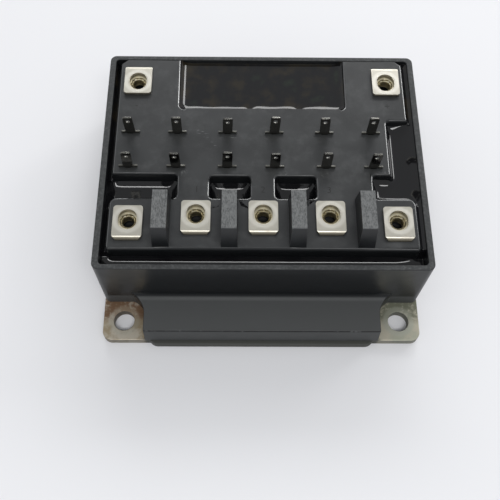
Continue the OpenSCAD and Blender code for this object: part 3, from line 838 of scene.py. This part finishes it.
class MODULE_OT_nuts(bpy.types.Operator):
    """Cut a chamfered thread into each captive nut"""
    bl_idname = "module.nuts"
    bl_label = "Nuts"

    def execute(self, context):
        looks = context.scene.module_metal
        piece = copy_node("terminal_nuts", "threaded_nuts")
        foot_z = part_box("terminal_nuts")[0].z
        bore = next(mount["dims"] for mount in frame["record"]["mounts"]
                    if mount["kind"] == "threaded_hole")
        cutters = [self.thread_cutter(Vector((x, y, foot_z)), bore["r_mm"] * MM,
                                      bore["length_mm"] * MM, looks)
                   for x, y in screw_places()]
        make_active(cutters[0])
        for cutter in cutters:
            cutter.select_set(True)
        bpy.ops.object.join()
        cutter = bpy.context.object
        apply_modifier(piece, "BOOLEAN", operation="DIFFERENCE", solver="EXACT",
                       object=cutter)
        bpy.data.objects.remove(cutter)
        smooth(piece, 30)
        stand_for(piece, "terminal_nuts", nut_finish(looks))
        return {"FINISHED"}

    def thread_cutter(self, foot, crest, length, looks):
        """A closed bobbin whose rings are the grooves of the thread"""
        root = crest + looks.thread_depth
        margin = 0.3 * MM
        deselect()
        bpy.ops.mesh.primitive_circle_add(vertices=40, radius=crest, fill_type="NGON",
                                          location=foot - Vector((0, 0, margin)))
        cutter = bpy.context.object
        bpy.ops.object.mode_set(mode="EDIT")
        bpy.ops.mesh.select_all(action="SELECT")
        rise(margin, 1.0)
        turns = int(length / looks.thread_pitch)
        rise(length - turns * looks.thread_pitch + 0.01 * MM, 1.0)
        for turn in range(turns + 1):
            rise(looks.thread_pitch / 2, root / crest)
            rise(looks.thread_pitch / 2, crest / root)
        rise(margin, 1.0)
        bpy.ops.mesh.select_all(action="SELECT")
        bpy.ops.mesh.normals_make_consistent(inside=False)
        bpy.ops.object.mode_set(mode="OBJECT")
        return cutter


class MODULE_OT_terminals(bpy.types.Operator):
    """Soften the edges of the screw terminals and plate them"""
    bl_idname = "module.terminals"
    bl_label = "Screw terminals"

    def execute(self, context):
        looks = context.scene.module_metal
        finish = terminal_finish(looks, [(x, y, 0) for x, y in screw_places()])
        for node in TERMINALS:
            piece = copy_node(node, node + "_strip")
            round_edges(piece, looks.edge_radius, 2)
            smooth(piece)
            stand_for(piece, node, finish)
        return {"FINISHED"}


class MODULE_OT_tabs(bpy.types.Operator):
    """Soften the push-on tabs and lean them as handling has left them"""
    bl_idname = "module.tabs"
    bl_label = "Signal tabs"

    def execute(self, context):
        looks = context.scene.module_metal
        finish = tab_finish(looks)
        draw = random.Random(7)
        for node in TABS:
            piece = copy_node(node, node + "_blade")
            round_edges(piece, 0.5 * looks.edge_radius, 2)
            low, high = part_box(node)
            root = Vector(((low.x + high.x) / 2, low.y, TAB_BEND_Z))
            select_vertices(piece, lambda place: place.z > root.z)
            for axis in "XY":
                lean = math.radians(draw.uniform(-TAB_LEAN, TAB_LEAN))
                bpy.ops.transform.rotate(value=lean, orient_axis=axis,
                                         center_override=root)
            bpy.ops.object.mode_set(mode="OBJECT")
            smooth(piece)
            stand_for(piece, node, finish)
        return {"FINISHED"}


class MODULE_OT_base_plate(bpy.types.Operator):
    """Soften the base plate's edges and tarnish it"""
    bl_idname = "module.base_plate"
    bl_label = "Base plate"

    def execute(self, context):
        looks = context.scene.module_metal
        piece = copy_node("base_plate", "tarnished_plate")
        round_edges(piece, 2 * looks.edge_radius, 3)
        smooth(piece)
        stand_for(piece, "base_plate", plate_finish(looks))
        return {"FINISHED"}


class MODULE_OT_circuit(bpy.types.Operator):
    """Give the sealed circuit its ceramic, copper, silicon, wire and gel"""
    bl_idname = "module.circuit"
    bl_label = "Circuit"

    def execute(self, context):
        finishes = {
            "ceramic": plain_finish("alumina", (0.84, 0.85, 0.84), (0.78, 0.79, 0.78),
                                    4 * MM, 0.0, 0.45),
            "copper": plain_finish("bare_copper", (0.72, 0.38, 0.24), (0.55, 0.30, 0.20),
                                   3 * MM, 1.0, 0.3),
            "die": plain_finish("silicon", (0.20, 0.21, 0.25), (0.26, 0.26, 0.29),
                                2 * MM, 0.8, 0.25),
            "wires": plain_finish("aluminium_wire", (0.80, 0.80, 0.82), (0.7, 0.7, 0.72),
                                  1 * MM, 1.0, 0.3),
            "gel": plain_finish("clear_gel", (0.75, 0.78, 0.80), (0.70, 0.74, 0.77),
                                6 * MM, 0.0, 0.1, alpha=0.5),
        }
        for node in NODES:
            for word, finish in finishes.items():
                if word in node.split("_"):
                    dress_node(node, finish)
        return {"FINISHED"}


class MODULE_OT_marks(bpy.types.Operator):
    """Mark the phases with plain digits and the rear terminals with signs"""
    bl_idname = "module.marks"
    bl_label = "Marks"

    def execute(self, context):
        looks = context.scene.module_plastic
        front, rear = screw_places()[:FRONT_SCREWS], screw_places()[FRONT_SCREWS:]
        marks = [(str(number), Vector((x, DIGITS_Y, RIM_Z)), 2.8 * MM)
                 for number, (x, y) in enumerate(sorted(front)[1:-1], start=1)]
        marks += [(sign, Vector((x, SIGNS_Y, RIM_Z)), 3.2 * MM)
                  for sign, (x, y) in zip("-+", sorted(rear))]
        made = [self.mark(*each) for each in marks]
        make_active(made[0])
        for each in made:
            each.select_set(True)
        bpy.ops.object.join()
        piece = bpy.context.object
        piece.name = "lid_marks"
        bpy.ops.object.transform_apply(location=True, rotation=True, scale=True)
        dress(piece, plain_finish("mark_plastic", (0.002, 0.002, 0.002),
                                  (0.008, 0.008, 0.008), 0.5 * MM, 0.0, 0.5))
        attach(piece, "root")
        return {"FINISHED"}

    def mark(self, word, place, height):
        """A thin raised letter or digit that lies on the lid"""
        deselect()
        bpy.ops.object.text_add(location=place)
        text = bpy.context.object
        text.data.body = word
        text.data.size = height
        text.data.align_x = "CENTER"
        text.data.align_y = "CENTER"
        text.data.extrude = 0.03 * MM
        text.data.offset = -0.03 * MM
        bpy.ops.object.convert(target="MESH")
        return bpy.context.object


# name, direction, width and height in degrees, and radiance of each lamp
LAMPS = (("rear_window", (0.10, 0.84, 0.53), 56, 16, 6.0),
         ("right_window", (0.66, 0.56, 0.50), 17, 17, 7.0),
         ("front_lamp", (0.05, -0.50, 0.865), 40, 12, 10.0))
LAMP_DISTANCE = 1.5
FLOOR_WIDTH = 3.0
SKY_COLOUR = (0.96, 0.98, 1.0)
SKY_STRENGTH = 0.52
CAMERA_PLACE = Vector((-6.05, -113.50, 207.01)) * MM
CAMERA_FORWARD = Vector((0.01207, 0.42251, -0.90628))
CAMERA_UPWARD = Vector((-0.00454, 0.90636, 0.42249))


class MODULE_OT_stage(bpy.types.Operator):
    """Lay the pale floor, hang the soft lamps and set the camera"""
    bl_idname = "module.stage"
    bl_label = "Stage"

    def execute(self, context):
        looks = context.scene.module_stage
        self.floor(looks)
        self.world(looks)
        for name, direction, width, height, radiance in LAMPS:
            self.lamp(name, LAMP_DISTANCE * Vector(direction).normalized(), width, height,
                      radiance)
        self.camera(looks)
        context.scene.view_settings.view_transform = "Standard"
        return {"FINISHED"}

    def floor(self, looks):
        deselect()
        bpy.ops.mesh.primitive_plane_add(size=FLOOR_WIDTH, location=(0, 0, 0))
        piece = bpy.context.object
        piece.name = "floor"
        made = Finish("pale_floor")
        tone = made.noise(0.3, 2)
        made.set(base_color=made.mix(tone * 0.2, tuple(looks.floor_colour),
                                     tuple(0.96 * c for c in looks.floor_colour)),
                 roughness=0.6)
        dress(piece, made.material)

    def world(self, looks):
        world = bpy.data.worlds.new("studio")
        bpy.context.scene.world = world
        world.use_nodes = True
        sky = world.node_tree.nodes["Background"]
        sky.inputs["Color"].default_value = (*SKY_COLOUR, 1.0)
        sky.inputs["Strength"].default_value = SKY_STRENGTH

    def lamp(self, name, place, width, height, radiance):
        """A soft oval lamp that looks as wide and high as given from the origin"""
        deselect()
        bpy.ops.object.light_add(type="AREA", location=place)
        lamp = bpy.context.object
        lamp.name = name
        across, upright = [2 * place.length * math.tan(math.radians(angle) / 2)
                           for angle in (width, height)]
        lamp.data.shape = "ELLIPSE"
        lamp.data.size = across
        lamp.data.size_y = upright
        lamp.data.energy = radiance * math.pi ** 2 * across * upright / 4
        lamp.rotation_mode = "QUATERNION"
        lamp.rotation_quaternion = place.to_track_quat("Z", "Y")

    def camera(self, looks):
        deselect()
        bpy.ops.object.camera_add()
        camera = bpy.context.object
        camera.name = "camera"
        camera.data.lens = looks.focal_length
        camera.data.sensor_width = 36.0
        camera.data.clip_start = 0.01
        right = CAMERA_FORWARD.cross(CAMERA_UPWARD).normalized()
        turn = Matrix((right, right.cross(CAMERA_FORWARD), -CAMERA_FORWARD)).transposed()
        camera.matrix_world = Matrix.Translation(CAMERA_PLACE) @ turn.to_4x4()
        bpy.context.scene.camera = camera


class MODULE_PT_panel(bpy.types.Panel):
    """Lists the module's pieces and their looks"""
    bl_label = "Power module"
    bl_idname = "MODULE_PT_panel"
    bl_space_type = "VIEW_3D"
    bl_region_type = "UI"
    bl_category = "Module"

    def draw(self, context):
        for operator in OPERATORS:
            self.layout.operator(operator.bl_idname)
        for name, group in LOOKS.items():
            box = self.layout.box()
            for key in group.__annotations__:
                box.prop(getattr(context.scene, name), key)


LOOKS = {"module_plastic": PlasticLooks, "module_resin": ResinLooks,
         "module_metal": MetalLooks, "module_stage": StageLooks}
OPERATORS = (MODULE_OT_stage, MODULE_OT_base_plate, MODULE_OT_case, MODULE_OT_lid,
             MODULE_OT_resin, MODULE_OT_nuts, MODULE_OT_terminals, MODULE_OT_tabs,
             MODULE_OT_circuit, MODULE_OT_marks)


def register():
    for kind in (*LOOKS.values(), *OPERATORS, MODULE_PT_panel):
        bpy.utils.register_class(kind)
    for name, group in LOOKS.items():
        setattr(bpy.types.Scene, name, bpy.props.PointerProperty(type=group))


def unregister():
    for name in LOOKS:
        delattr(bpy.types.Scene, name)
    for kind in reversed((*LOOKS.values(), *OPERATORS, MODULE_PT_panel)):
        bpy.utils.unregister_class(kind)


def main():
    register()
    for operator in OPERATORS:
        getattr(bpy.ops.module, operator.bl_idname.split(".")[1])()


if __name__ == "__main__":
    main()
